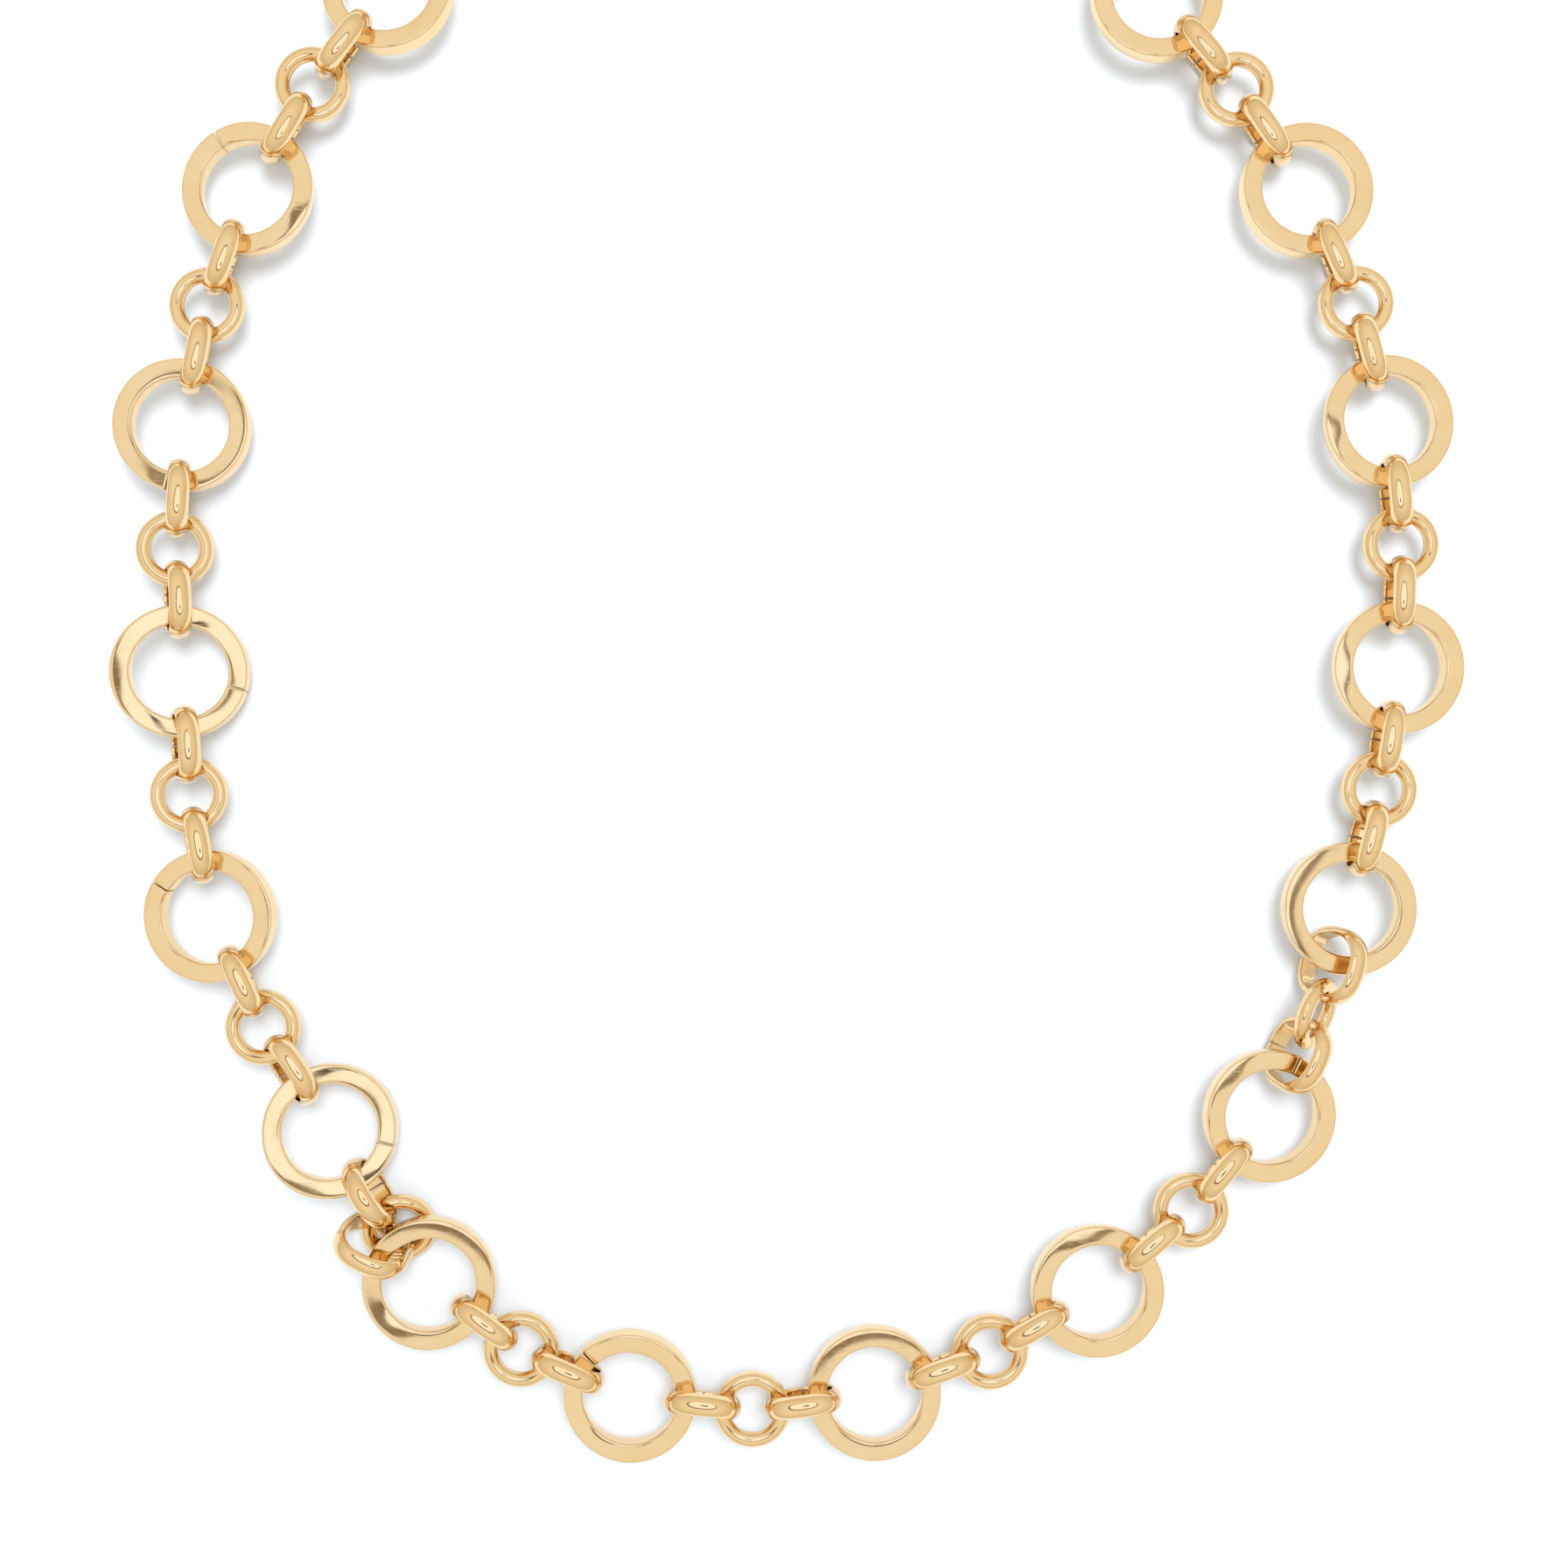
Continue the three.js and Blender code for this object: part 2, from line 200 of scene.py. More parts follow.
def gold(name, colour, worn, gloss, line_depth, scratch_depth):
    material = bpy.data.materials.new(name)
    material.use_nodes = True
    nodes, links = material.node_tree.nodes, material.node_tree.links
    shader = nodes["Principled BSDF"]
    shader.inputs["Metallic"].default_value = 1.0
    place = nodes.new("ShaderNodeTexCoord")

    def stretched(source, scale, turn):
        mapping = nodes.new("ShaderNodeMapping")
        mapping.inputs["Scale"].default_value = scale
        mapping.inputs["Rotation"].default_value = [math.radians(t) for t in turn]
        links.new(source, mapping.inputs["Vector"])
        return mapping.outputs["Vector"]

    def noise(vector, scale, detail, roughness):
        texture = nodes.new("ShaderNodeTexNoise")
        texture.inputs["Scale"].default_value = scale
        texture.inputs["Detail"].default_value = detail
        texture.inputs["Roughness"].default_value = roughness
        links.new(vector, texture.inputs["Vector"])
        return texture.outputs["Fac"]

    def ranged(value, low, high, to_low, to_high):
        step = nodes.new("ShaderNodeMapRange")
        for socket, number in zip(["From Min", "From Max", "To Min", "To Max"], [low, high, to_low, to_high]):
            step.inputs[socket].default_value = number
        links.new(value, step.inputs["Value"])
        return step.outputs["Result"]

    def maths(operation, a, b):
        step = nodes.new("ShaderNodeMath")
        step.operation = operation
        for socket, value in zip(step.inputs, [a, b]):
            if isinstance(value, float):
                socket.default_value = value
            else:
                links.new(value, socket)
        return step.outputs["Value"]

    tone = ranged(noise(place.outputs["Object"], TONE_GRAIN, 4, 0.6), 0.38, 0.66, 0.0, 1.0)
    mix = nodes.new("ShaderNodeMix")
    mix.data_type = "RGBA"
    mix.inputs["A"].default_value = (*colour, 1)
    mix.inputs["B"].default_value = (*worn, 1)
    links.new(tone, mix.inputs["Factor"])
    links.new(mix.outputs["Result"], shader.inputs["Base Color"])
    wiped = stretched(place.outputs["Object"], (1.0, 0.45, 1.0), (0, 0, 35))
    smears = noise(wiped, SMEAR_GRAIN, 5, 0.65)
    links.new(ranged(smears, 0.3, 0.7, *gloss), shader.inputs["Roughness"])
    drawn = noise(stretched(place.outputs["UV"], (0.35, 9.0, 1.0), (0, 0, 0)), 1.0, 3, 0.6)
    height = maths("MULTIPLY", drawn, line_depth)
    for turn, scale in SCRATCHES:
        cut = noise(stretched(place.outputs["Object"], (0.35, 9.0, 1.0), turn), scale, 1, 0.4)
        line = ranged(maths("ABSOLUTE", maths("SUBTRACT", cut, 0.5), 0.0), 0.0, SCRATCH_WIDTH, 1.0, 0.0)
        where = ranged(noise(place.outputs["Object"], scale * 0.9, 1, 0.5), 0.52, 0.6, 0.0, 1.0)
        depth = maths("MULTIPLY", maths("MULTIPLY", line, where), scratch_depth)
        height = maths("SUBTRACT", height, depth)
    bump = nodes.new("ShaderNodeBump")
    bump.inputs["Strength"].default_value = BUMP_STRENGTH
    bump.inputs["Distance"].default_value = BUMP_DEPTH * MM
    links.new(height, bump.inputs["Height"])
    links.new(bump.outputs["Normal"], shader.inputs["Normal"])
    return material


def large_roll(number):
    place, size = LARGE_ROLLS.get(number, (0, 0))
    leans_to, back = LARGE_LEVELS.get(number, (0, 0))

    def roll(angle):
        away = (angle - place + 180) % 360 - 180
        ripple = RIPPLE * math.sin(math.radians(2 * angle + 77 * number))
        level_again = -back * math.cos(math.radians(angle - leans_to))
        return ripple + level_again + size * math.exp(-((away / ROLL_SPREAD) ** 2))

    return roll


square_wire_gold = gold("square_wire_gold", LARGE_GOLD, LARGE_GOLD_WORN, LARGE_GLOSS, 0.5, 0.5)
large_section = square_section(LARGE_WIRE, LARGE_CORNER, LARGE_CROWN)
last_touch = {}
for joint in frame["joints"]:
    last_touch[joint["parent"]] = last_touch[joint["child"]] = Vector(joint["pos_m"])
for number in range(1, 20):
    node = f"large_ring_{number:02d}"
    centre, axis = ring_of(node)
    axis = axis if axis[2] > 0 else -axis
    place = ring_axes(centre * MM, axis, (1, 0, 0))
    hidden = place.inverted() @ last_touch[node]
    under_link = math.degrees(math.atan2(hidden.y, hidden.x))
    cut_at = LARGE_JOINTS.get(number, under_link)
    parts = bent_wire(LARGE_RADIUS, large_section, LARGE_STEPS, cut_at, BUTT_GAP, large_roll(number))
    piece_from(f"{node}_wire", *parts, place, node, node, square_wire_gold, "square_wire_gold")


# The eighteen small rings are round wire of the same plated brass, wound on a rod and closed by a butt joint.
# Each hangs in the link before it and in the link after it, and both move freely on the real chain.
SMALL_RADIUS = 2.745
SMALL_WIRE = 1.36
SMALL_STEPS = 96
SMALL_GOLD = (0.87, 0.635, 0.35)
SMALL_GOLD_WORN = (0.85, 0.595, 0.305)
SMALL_GLOSS = (0.05, 0.11)
SMALL_JOINTS = {11: 205}
# The radii and heights of the corners of a ring solid's section, which its vertices are fitted to.
SMALL_PROFILE = [(SMALL_RADIUS + SMALL_WIRE / 2 * math.cos(t), SMALL_WIRE / 2 * math.sin(t))
                 for t in np.radians(range(0, 360, 60))]


# How far from the section a vertex may lie and still count, in one pass of the fit after another.
FIT_REACHES = [0.6, 0.5, 0.4, 0.3, 0.2, 0.15, 0.1, 0.05, 0.03, 0.03]
FIT_FEWEST = 12


def fit_ring(points, centre, axis, profile):
    centre, axis = np.array(centre, float), np.array(axis, float)
    profile = np.array(profile)
    for reach in FIT_REACHES:
        rel = points - centre
        up = rel @ axis
        flat = rel - np.outer(up, axis)
        out = np.linalg.norm(flat, axis=1)
        radial = flat / out[:, None]
        gaps = np.hypot(out[:, None] - profile[:, 0], up[:, None] - profile[:, 1])
        pick = gaps.argmin(1)
        near = gaps.min(1) < reach
        if near.sum() < FIT_FEWEST:
            break
        side = np.cross(axis, [0.3, 0.5, 0.8])
        side /= np.linalg.norm(side)
        tilts = np.c_[side, np.cross(axis, side)]
        rows_out = np.c_[-radial, -up[:, None] * (radial @ tilts)][near]
        rows_up = np.c_[-np.tile(axis, (len(points), 1)), rel @ tilts][near]
        wrong = np.r_[(out - profile[pick, 0])[near], (up - profile[pick, 1])[near]]
        change = np.linalg.lstsq(np.vstack([rows_out, rows_up]), -wrong, rcond=None)[0]
        centre = centre + change[:3]
        axis = axis + tilts @ change[3:]
        axis /= np.linalg.norm(axis)
    return centre, axis, near.sum()


def best_ring(points, starts, profile):
    fits = [fit_ring(points, centre, axis, profile) for centre, axis in starts]
    return max(fits, key=lambda fit: fit[2])[:2]


def spokes(axis, count):
    side = np.cross(axis, [0.31, 0.52, 0.80])
    side /= np.linalg.norm(side)
    other = np.cross(axis, side)
    turns = np.linspace(0, 2 * math.pi, count, endpoint=False)
    return [math.cos(t) * side + math.sin(t) * other for t in turns]


def joint_between(a, b):
    joint = next(j for j in frame["joints"] if {j["parent"], j["child"]} == {a, b})
    wire = np.array(joint["axis"], float)
    return np.array(joint["pos_m"]) / MM, wire / np.linalg.norm(wire)


def level(angle):
    return 0.0


round_wire_gold = gold("round_wire_gold", SMALL_GOLD, SMALL_GOLD_WORN, SMALL_GLOSS, 0.5, 0.5)
small_section = corner_arc(0, 0, SMALL_WIRE / 2, 0, 345, 24)
joined_links = {}
for number in range(1, 19):
    node = f"small_ring_with_link_{number:02d}"
    points = np.unique(node_points(node).round(4), axis=0)
    held_at, wire = joint_between(f"link_{number:02d}", node)
    holds_at, next_wire = joint_between(node, f"large_ring_{number + 1:02d}")
    starts = [(held_at + SMALL_RADIUS * out, np.cross(out, wire)) for out in spokes(wire, 24)]
    centre, axis = best_ring(points, starts, SMALL_PROFILE)
    axis = axis if axis[2] > 0 else -axis
    place = ring_axes(centre * MM, axis, (1, 0, 0))
    hidden = place.inverted() @ Vector(held_at * MM)
    under_link = math.degrees(math.atan2(hidden.y, hidden.x))
    cut_at = SMALL_JOINTS.get(number, under_link)
    parts = bent_wire(SMALL_RADIUS, small_section, SMALL_STEPS, cut_at, BUTT_GAP, level)
    name = f"small_ring_{number:02d}_wire"
    piece_from(name, *parts, place, node, node, round_wire_gold, "round_wire_gold")
    joined_links[number] = (points, holds_at, next_wire, centre)


# The thirty-six links are short loops of half-round wire, flat inside and domed outside, bent and closed.
# One grips a large ring and a small ring in turn, so its mouth always holds two wires.
# The links after each small ring share its body, so those pieces ride with it.
LINK_INNER = 2.77
LINK_OUTER = 3.55
LINK_WIDTH = 1.94
LINK_EDGE = 0.14
# How squarely a loop is pressed: 2 is a circle. The loop that slipped sideways is left round.
LINK_OVAL = 2.5
ROUND_OVAL = 2.0
SLIPPED = 8
LINK_STEPS = 112
LINK_SEAT = 1.42
LINK_GOLD = (0.87, 0.63, 0.34)
LINK_GOLD_WORN = (0.85, 0.59, 0.295)
LINK_GLOSS = (0.05, 0.11)
LINK_PROFILE = [
    (2.824, -0.97), (2.824, 0.97), (3.124, 0.97), (3.124, -0.97), (3.431, 0.582), (3.431, -0.582), (3.55, 0),
]
LINK_EASE = 0.09
DOME_CROWN = 1.15


def half_round_section():
    half = LINK_WIDTH / 2
    foot = LINK_INNER + LINK_EDGE
    radius = (LINK_INNER + LINK_OUTER) / 2
    turns = np.radians(np.linspace(-90, 90, 21))
    rise = LINK_OUTER - foot
    dome = [(foot + rise * abs(math.cos(t)) ** DOME_CROWN, half * math.sin(t)) for t in turns]
    arc_up = corner_arc(foot, half - LINK_EDGE, LINK_EDGE, 90, 180, 5)[1:]
    arc_down = corner_arc(foot, LINK_EDGE - half, LINK_EDGE, 180, 270, 5)[:-1]
    flat = [(LINK_INNER, s) for s in np.linspace(half - LINK_EDGE, LINK_EDGE - half, 7)[1:-1]]
    return radius, [(out - radius, up) for out, up in dome + arc_up + flat + arc_down]


def link_piece(name, centre, axis, node, oval):
    place = ring_axes(Vector(centre) * MM, axis, Vector(axis).cross(Vector((0, 0, 1))))
    below = place.inverted().to_3x3() @ Vector((0, 0, -1))
    underneath = math.degrees(math.atan2(below.y, below.x))
    radius, section = half_round_section()
    parts = bent_wire(radius, section, LINK_STEPS, underneath, BUTT_GAP, level, oval)
    piece_from(name, *parts, place, node, node, link_gold, "link_gold")


link_gold = gold("link_gold", LINK_GOLD, LINK_GOLD_WORN, LINK_GLOSS, 0.4, 0.5)
for number in range(1, 19):
    node = f"link_{number:02d}"
    centre, axis = ring_of(node)
    link_piece(f"{node}_loop", centre, axis, node, ROUND_OVAL if number == SLIPPED else LINK_OVAL)
for number, (points, holds_at, wire, small_centre) in joined_links.items():
    node = f"small_ring_with_link_{number:02d}"
    starts = []
    for out in spokes(wire, 12):
        across = np.cross(wire, out)
        for lean in [0 * out, 0.5 * out, -0.5 * out, 0.5 * across, -0.5 * across]:
            starts.append((holds_at + LINK_SEAT * out, wire + lean))
    centre, axis = best_ring(points, starts, LINK_PROFILE)
    towards = (small_centre - centre) / np.linalg.norm(small_centre - centre)
    eased = centre + LINK_EASE * towards
    link_piece(f"link_after_small_ring_{number:02d}", eased, axis, node, LINK_OVAL)


# The jump ring is round brass wire, opened sideways to thread the clasp and the end ring and squeezed shut.
# It stands on edge between the last large ring and the clasp's eye.
JUMP_RADIUS = 2.9
JUMP_WIRE = 1.2
JUMP_CUT_AT = 8
jump_centre, jump_axis = ring_of("clasp_jump_ring")
jump_place = ring_axes(jump_centre * MM, jump_axis, (0, 0, -1))
jump_section = corner_arc(0, 0, JUMP_WIRE / 2, 0, 345, 24)
jump_parts = bent_wire(JUMP_RADIUS, jump_section, SMALL_STEPS, JUMP_CUT_AT, BUTT_GAP, level)
piece_from("clasp_jump_ring_wire", *jump_parts, jump_place, "clasp_jump_ring", "clasp_jump_ring",
           round_wire_gold, "round_wire_gold")


# The clasp is a lobster claw, cast in brass, tumbled until its edges are round, then plated like the chain.
# Its eye is a ring at the tail, and a slot along its back takes the lever that closes the mouth.
PIVOT = (5.0, 1.1)
PIVOT_BORE = 0.58
CLAW_THICK = 3.0
CLAW_EDGE = 0.5
CLAW_OUTLINE = [
    (1.3, 1.5), (3.2, 3.6, 5.2, 3.1), (6.6, 2.8, 6.6, 1.2), (6.6, -2.2, 9.8, -2.2), (12.6, -2.2, 12.8, 0.6),
    (13.0, 2.1), (12.3, 3.0), (13.8, 3.6, 14.6, 2.4), (15.6, 0.4, 14.4, -2.0), (12.8, -4.4, 9.4, -4.3),
    (5.0, -4.1, 1.3, -1.5),
]
SLOT_BOX = [(2.5, -0.4, -0.85), (7.9, 5.6, 0.85)]
EYE_RADIUS = 1.725
EYE_SECTION = (1.15, 1.5)
EYE_EDGE = 0.42
EYE_STEPS = 64
EYE_GAP = 0.002
CLAW_GRAIN = 0.085
CLAW_TUMBLES = 4
CLASP_GOLD = (0.86, 0.625, 0.345)
CLASP_GOLD_WORN = (0.83, 0.575, 0.29)
CLASP_GLOSS = (0.08, 0.16)
BEND_STEPS = 14


def outline_points(outline):
    points = [outline[0]]
    for step in outline[1:]:
        if len(step) == 2:
            points.append(step)
            continue
        start, control, end = np.array(points[-1]), np.array(step[:2]), np.array(step[2:])
        for t in np.linspace(0, 1, BEND_STEPS + 1)[1:]:
            points.append(tuple((1 - t) ** 2 * start + 2 * t * (1 - t) * control + t * t * end))
    return points


def evaluated_mesh(piece):
    bpy.context.view_layer.update()
    made = bpy.data.meshes.new_from_object(piece.evaluated_get(bpy.context.evaluated_depsgraph_get()))
    bpy.data.objects.remove(piece)
    return made


def linked(name, data):
    piece = bpy.data.objects.new(name, data)
    bpy.context.scene.collection.objects.link(piece)
    return piece


def rounded_plate(outline, thick, edge):
    curve = bpy.data.curves.new("outline", "CURVE")
    curve.dimensions = "2D"
    curve.fill_mode = "BOTH"
    curve.extrude = thick / 2 - edge
    curve.bevel_depth = edge
    curve.bevel_resolution = 3
    curve.offset = -edge
    points = outline_points(outline)
    spline = curve.splines.new("POLY")
    spline.points.add(len(points) - 1)
    for point, (x, y) in zip(spline.points, points):
        point.co = (x, y, 0, 1)
    spline.use_cyclic_u = True
    return evaluated_mesh(linked("outline", curve))


def box_mesh(low, high):
    corners = [(x, y, z) for x in (low[0], high[0]) for y in (low[1], high[1]) for z in (low[2], high[2])]
    sides = [(0, 1, 3, 2), (4, 6, 7, 5), (0, 4, 5, 1), (2, 3, 7, 6), (0, 2, 6, 4), (1, 5, 7, 3)]
    mesh = bpy.data.meshes.new("cutter")
    mesh.from_pydata(corners, [], sides)
    return mesh


def rod_mesh(centre, radius, length):
    turns = np.radians(range(0, 360, 10))
    rows = [[(centre[0] + radius * math.cos(t), centre[1] + radius * math.sin(t), z) for t in turns]
            for z in (-length / 2, length / 2)]
    count = len(turns)
    sides = [(j, (j + 1) % count, count + (j + 1) % count, count + j) for j in range(count)]
    ends = [tuple(reversed(range(count))), tuple(range(count, 2 * count))]
    mesh = bpy.data.meshes.new("cutter")
    mesh.from_pydata(rows[0] + rows[1], [], sides + ends)
    return mesh


def cut_from(mesh, cutters):
    piece = linked("blank", mesh)
    tools = [linked("cutter", cutter) for cutter in cutters]
    for tool in tools:
        modifier = piece.modifiers.new("cut", "BOOLEAN")
        modifier.operation = "DIFFERENCE"
        modifier.solver = "EXACT"
        modifier.object = tool
    made = evaluated_mesh(piece)
    for tool in tools:
        bpy.data.objects.remove(tool)
    return made


def cast_piece(name, meshes, grain, tumbles, place, body, material):
    blank = bpy.data.meshes.new("blank")
    points, faces = [], []
    for mesh in meshes:
        start = len(points)
        points += [tuple(v.co) for v in mesh.vertices]
        faces += [tuple(start + i for i in face.vertices) for face in mesh.polygons]
    blank.from_pydata(points, [], faces)
    piece = linked("blank", blank)
    remesh = piece.modifiers.new("cast", "REMESH")
    remesh.mode = "VOXEL"
    remesh.voxel_size = grain
    tumble = piece.modifiers.new("tumble", "SMOOTH")
    tumble.iterations = tumbles
    made = evaluated_mesh(piece)
    made.name = name
    made.transform(place @ Matrix.Scale(MM, 4))
    for face in made.polygons:
        face.use_smooth = True
    made.materials.clear()
    made.materials.append(material)
    cast = linked(name, made)
    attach(cast, body)
    return cast


clasp_gold = gold("clasp_gold", CLASP_GOLD, CLASP_GOLD_WORN, CLASP_GLOSS, 0.0, 0.5)
pivot, clasp_z = joint_between("clasp_body", "clasp_trigger")
clasp_y = joint_between("clasp_jump_ring", "clasp_body")[1]
clasp_x = np.cross(clasp_y, clasp_z)
eye = pivot - PIVOT[0] * clasp_x - PIVOT[1] * clasp_y
clasp_place = axes_of(eye * MM, Vector(clasp_x), Vector(clasp_y), Vector(clasp_z))
claw = cut_from(rounded_plate(CLAW_OUTLINE, CLAW_THICK, CLAW_EDGE),
                [box_mesh(*SLOT_BOX), rod_mesh(PIVOT, PIVOT_BORE, 2 * CLAW_THICK)])
eye_half = (EYE_SECTION[0] / 2 - EYE_EDGE, EYE_SECTION[1] / 2 - EYE_EDGE)
eye_section = [(sx * eye_half[0] + EYE_EDGE * math.cos(t), sy * eye_half[1] + EYE_EDGE * math.sin(t))
               for quarter, (sx, sy) in enumerate([(1, 1), (-1, 1), (-1, -1), (1, -1)])
               for t in np.radians(np.linspace(90 * quarter, 90 * quarter + 90, 5))]
eye_points, eye_faces, _ = bent_wire(EYE_RADIUS, eye_section, EYE_STEPS, 0, EYE_GAP, level)
eye_mesh = bpy.data.meshes.new("eye")
eye_mesh.from_pydata([tuple(p) for p in eye_points], [], eye_faces)
clasp_claw = cast_piece("clasp_claw", [claw, eye_mesh], CLAW_GRAIN, CLAW_TUMBLES, clasp_place,
                        "clasp_body", clasp_gold)
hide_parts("clasp_body")


# The lever is a flat brass stamping with tumbled edges that turns on the rivet and closes the claw's mouth.
# Its thumb knob stands out of the slot, and a small coil spring behind it pushes it shut.
LEVER_THICK = 1.3
LEVER_EDGE = 0.28
LEVER_GRAIN = 0.07
LEVER_TUMBLES = 3
LEVER_OUTLINE = [
    (3.9, 0.6), (5.4, 0.5), (9.0, 1.3, 12.4, 1.0), (12.4, 1.9), (11.9, 2.6), (9.0, 2.9, 6.9, 2.7),
    (6.6, 4.4), (5.6, 5.0, 5.0, 4.2), (4.6, 2.6, 3.9, 2.0),
]
lever = cut_from(rounded_plate(LEVER_OUTLINE, LEVER_THICK, LEVER_EDGE),
                 [rod_mesh(PIVOT, PIVOT_BORE, 2 * LEVER_THICK)])
clasp_lever = cast_piece("clasp_lever", [lever], LEVER_GRAIN, LEVER_TUMBLES, clasp_place,
                         "clasp_trigger", clasp_gold)
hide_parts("clasp_trigger")


# The rivet is a brass pin through both cheeks of the claw, with its ends hammered into low domes.
RIVET_RADIUS = 0.5
RIVET_HALF = 1.65
RIVET_DOME = 0.18
RIVET_SIDES = 40
# The radii and heights of one end, from the rim of its flat tip to the middle of the shank.
rivet_end = [(0.28, -RIVET_HALF + 0.03), (0.44, -RIVET_HALF + 0.10),
             (RIVET_RADIUS, -RIVET_HALF + RIVET_DOME), (RIVET_RADIUS, -1.0)]
rivet_rows = rivet_end + [(RIVET_RADIUS, 0.0)] + [(r, -z) for r, z in reversed(rivet_end)]
rivet_points, rivet_faces = [], []
for r, z in rivet_rows:
    for t in np.linspace(0, 2 * math.pi, RIVET_SIDES, endpoint=False):
        rivet_points.append((PIVOT[0] + r * math.cos(t), PIVOT[1] + r * math.sin(t), z))
for i in range(len(rivet_rows) - 1):
    low, high = i * RIVET_SIDES, (i + 1) * RIVET_SIDES
    for j in range(RIVET_SIDES):
        k = (j + 1) % RIVET_SIDES
        rivet_faces.append((low + j, low + k, high + k, high + j))
tip = len(rivet_points)
top = tip - RIVET_SIDES
rivet_points += [(*PIVOT, -RIVET_HALF), (*PIVOT, RIVET_HALF)]
for j in range(RIVET_SIDES):
    k = (j + 1) % RIVET_SIDES
    rivet_faces.append((k, j, tip))
    rivet_faces.append((top + j, top + k, tip + 1))
rivet_corners = [(0.0, 0.0)] * sum(len(face) for face in rivet_faces)
piece_from("clasp_rivet", rivet_points, rivet_faces, rivet_corners, clasp_place,
           "clasp_body", "clasp_pin", clasp_gold, "clasp_gold")


# The spring is a short coil of drawn steel wire that sits in the slot behind the lever's tail.
SPRING_AT = (3.25, 0.9, 0)
SPRING_RADIUS = 0.44
SPRING_WIRE = 0.12
SPRING_TURNS = 4.5
SPRING_LENGTH = 1.5
STEPS_A_TURN = 28
WIRE_ROUND = 10
SPRING_STEEL = (0.60, 0.60, 0.62)
SPRING_STEEL_WORN = (0.50, 0.49, 0.49)
SPRING_GLOSS = (0.2, 0.32)
spring_steel = gold("spring_steel", SPRING_STEEL, SPRING_STEEL_WORN, SPRING_GLOSS, 0.5, 0.3)
turns = np.linspace(0, 2 * math.pi * SPRING_TURNS, int(STEPS_A_TURN * SPRING_TURNS))
coil_points, coil_faces = [], []
for step, t in enumerate(turns):
    height = SPRING_AT[1] + SPRING_LENGTH * (step / (len(turns) - 1) - 0.5)
    for a in np.linspace(0, 2 * math.pi, WIRE_ROUND, endpoint=False):
        r = SPRING_RADIUS + SPRING_WIRE * math.cos(a)
        coil_points.append((SPRING_AT[0] + r * math.cos(t), height + SPRING_WIRE * math.sin(a),
                            SPRING_AT[2] - r * math.sin(t)))
for i in range(len(turns) - 1):
    here, there = i * WIRE_ROUND, (i + 1) * WIRE_ROUND
    for j in range(WIRE_ROUND):
        k = (j + 1) % WIRE_ROUND
        coil_faces.append((here + j, there + j, there + k, here + k))
coil_faces.append(tuple(range(WIRE_ROUND)))
coil_faces.append(tuple(reversed(range(len(coil_points) - WIRE_ROUND, len(coil_points)))))
coil_corners = [(0.0, 0.0)] * sum(len(face) for face in coil_faces)
piece_from("clasp_spring_coil", coil_points, coil_faces, coil_corners, clasp_place,
           "clasp_body", "clasp_spring", spring_steel, "spring_steel")


# The floor is a sheet of matt white card under the necklace.
# Its colour is a little cool, so the shadows that the warm metal fills stay neutral.
lowest, highest = cad_box
AIM_LEFT = 0.5
AIM_UP = 61.2
centre_x = (lowest.x + highest.x) / 2 - AIM_LEFT * MM
centre_y = lowest.y + AIM_UP * MM
FLOOR_HALF = 1500
FLOOR_GAP = 0.02
CARD_WHITE = (0.81, 0.875, 0.975)
CARD_ROUGH = 0.8
CARD_SHEEN = 0.2
CARD_GRAIN = 900
CARD_BUMP = 0.05
floor_corners = [(x * FLOOR_HALF * MM, y * FLOOR_HALF * MM, lowest.z - FLOOR_GAP * MM)
                 for x, y in [(-1, -1), (1, -1), (1, 1), (-1, 1)]]
floor_mesh = bpy.data.meshes.new("floor")
floor_mesh.from_pydata(floor_corners, [], [(0, 1, 2, 3)])
floor = linked("floor", floor_mesh)
card = bpy.data.materials.new("white_card")
card.use_nodes = True
card_nodes, card_links = card.node_tree.nodes, card.node_tree.links
card_shader = card_nodes["Principled BSDF"]
card_shader.inputs["Base Color"].default_value = (*CARD_WHITE, 1)
card_shader.inputs["Roughness"].default_value = CARD_ROUGH
card_shader.inputs["Specular IOR Level"].default_value = CARD_SHEEN
card_grain = card_nodes.new("ShaderNodeTexNoise")
card_grain.inputs["Scale"].default_value = CARD_GRAIN
card_bump = card_nodes.new("ShaderNodeBump")
card_bump.inputs["Strength"].default_value = CARD_BUMP
card_bump.inputs["Distance"].default_value = CARD_BUMP * MM
card_links.new(card_grain.outputs["Fac"], card_bump.inputs["Height"])
card_links.new(card_bump.outputs["Normal"], card_shader.inputs["Normal"])
floor_mesh.materials.append(card)


# The necklace lies in a white tent that is brightest overhead and warmer towards the table.
# One soft lamp above and behind makes the shadows, and the metal doesn't show it.
# The heights go from 0 at the table to 1 straight overhead.
TENT_TINTS = [
    (0.0, (0.74, 0.70, 0.62)), (0.5, (0.88, 0.85, 0.77)), (0.80, (1.0, 0.98, 0.92)), (0.93, (1.0, 1.0, 0.98)),
    (1.0, (1.02, 1.04, 1.06)),
]
world = bpy.data.worlds.new("tent")
bpy.context.scene.world = world
world.use_nodes = True
tent, tent_links = world.node_tree.nodes, world.node_tree.links
direction = tent.new("ShaderNodeTexCoord")
split = tent.new("ShaderNodeSeparateXYZ")
ramp = tent.new("ShaderNodeValToRGB")
for height, tint in TENT_TINTS[1:-1]:
    ramp.color_ramp.elements.new(height)
for element, (height, tint) in zip(ramp.color_ramp.elements, TENT_TINTS):
    element.position = height
    element.color = (*tint, 1)
tent_links.new(direction.outputs["Generated"], split.inputs["Vector"])
tent_links.new(split.outputs["Z"], ramp.inputs["Fac"])
tent_links.new(ramp.outputs["Color"], tent["Background"].inputs["Color"])
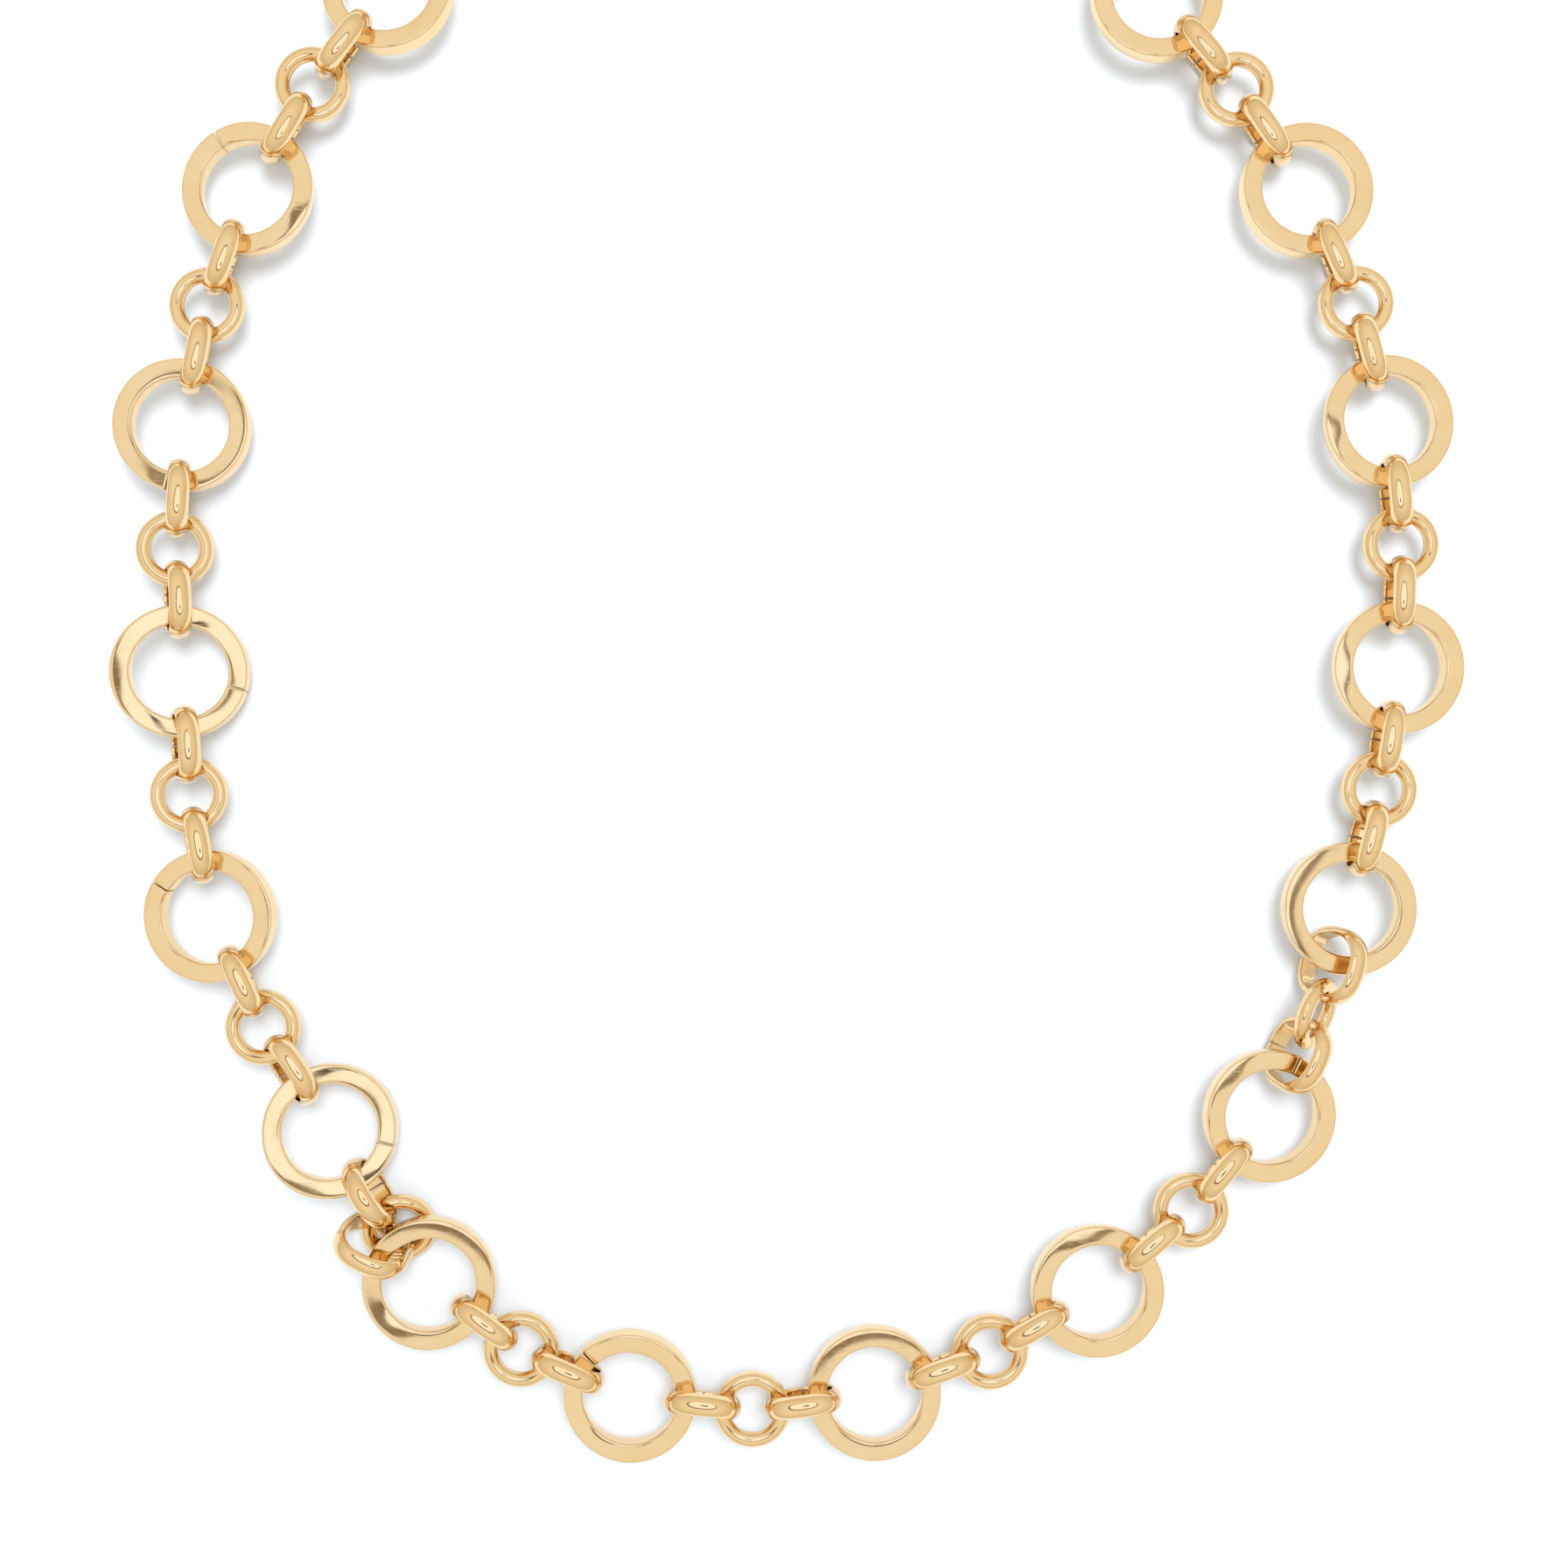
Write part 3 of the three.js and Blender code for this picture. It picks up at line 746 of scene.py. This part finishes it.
tent["Background"].inputs["Strength"].default_value = 1.0

LAMP_ASIDE = (80, 170)
LAMP_HEIGHT = 640
LAMP_SIZE = 260
LAMP_POWER = 2.5
lamp = bpy.data.lights.new("softbox", "AREA")
lamp.shape = "DISK"
lamp.size = LAMP_SIZE * MM
lamp.energy = LAMP_POWER
lamp_object = linked("softbox", lamp)
lamp_object.location = (centre_x + LAMP_ASIDE[0] * MM, centre_y + LAMP_ASIDE[1] * MM, LAMP_HEIGHT * MM)
lamp_object.rotation_mode = "QUATERNION"
lamp_aim = lamp_object.location - Vector((centre_x, centre_y, 0))
lamp_object.rotation_quaternion = lamp_aim.to_track_quat("Z", "Y")
lamp_object.visible_glossy = False


# A pale panel with a darker frame hangs over the necklace, with the camera's dark front in its middle.
# Only the metal shows them: they are the cream and brown streaks of polished gold.
CAMERA_HEIGHT = 170
# Each disc's radius, its shift aside, its height over the camera, its colour and its glow.
OVERHEAD_DISCS = {
    "camera_front": (14, (6, -18), 3.5, (0.12, 0.09, 0.07), 1.0),
    "light_panel": (78, (0, 0), 4.0, (0.80, 0.87, 1.0), 1.5),
    "panel_frame": (94, (-4, -6), 4.5, (0.29, 0.24, 0.18), 1.0),
}
for name, (radius, aside, over, colour, glow) in OVERHEAD_DISCS.items():
    x, y = centre_x + aside[0] * MM, centre_y + aside[1] * MM
    rim = [(x + radius * MM * math.cos(t), y + radius * MM * math.sin(t), (CAMERA_HEIGHT + over) * MM)
           for t in np.radians(range(0, 360, 5))]
    disc_mesh = bpy.data.meshes.new(name)
    disc_mesh.from_pydata(rim, [], [tuple(range(len(rim)))])
    material = bpy.data.materials.new(name)
    material.use_nodes = True
    shader = material.node_tree.nodes["Principled BSDF"]
    shader.inputs["Base Color"].default_value = (0, 0, 0, 1)
    shader.inputs["Specular IOR Level"].default_value = 0
    shader.inputs["Emission Color"].default_value = (*colour, 1)
    shader.inputs["Emission Strength"].default_value = glow
    disc_mesh.materials.append(material)
    disc = linked(name, disc_mesh)
    disc.visible_camera = False
    disc.visible_shadow = False
    disc.visible_diffuse = False


# The camera looks straight down from above the middle of the chain's U, with the nape out of view at the top.
VIEW_WIDTH = 141.4
SENSOR_WIDTH = 36
CLIP_START = 10
ring_height = (highest.z - lowest.z) / 2
camera = bpy.data.cameras.new("camera")
camera.sensor_width = SENSOR_WIDTH
camera.lens = SENSOR_WIDTH * (CAMERA_HEIGHT * MM - ring_height) / (VIEW_WIDTH * MM)
camera.clip_start = CLIP_START * MM
camera_object = linked("camera", camera)
camera_object.location = (centre_x, centre_y, CAMERA_HEIGHT * MM)
bpy.context.scene.camera = camera_object
bpy.context.scene.view_settings.view_transform = "Standard"
bpy.context.scene.view_settings.look = "None"
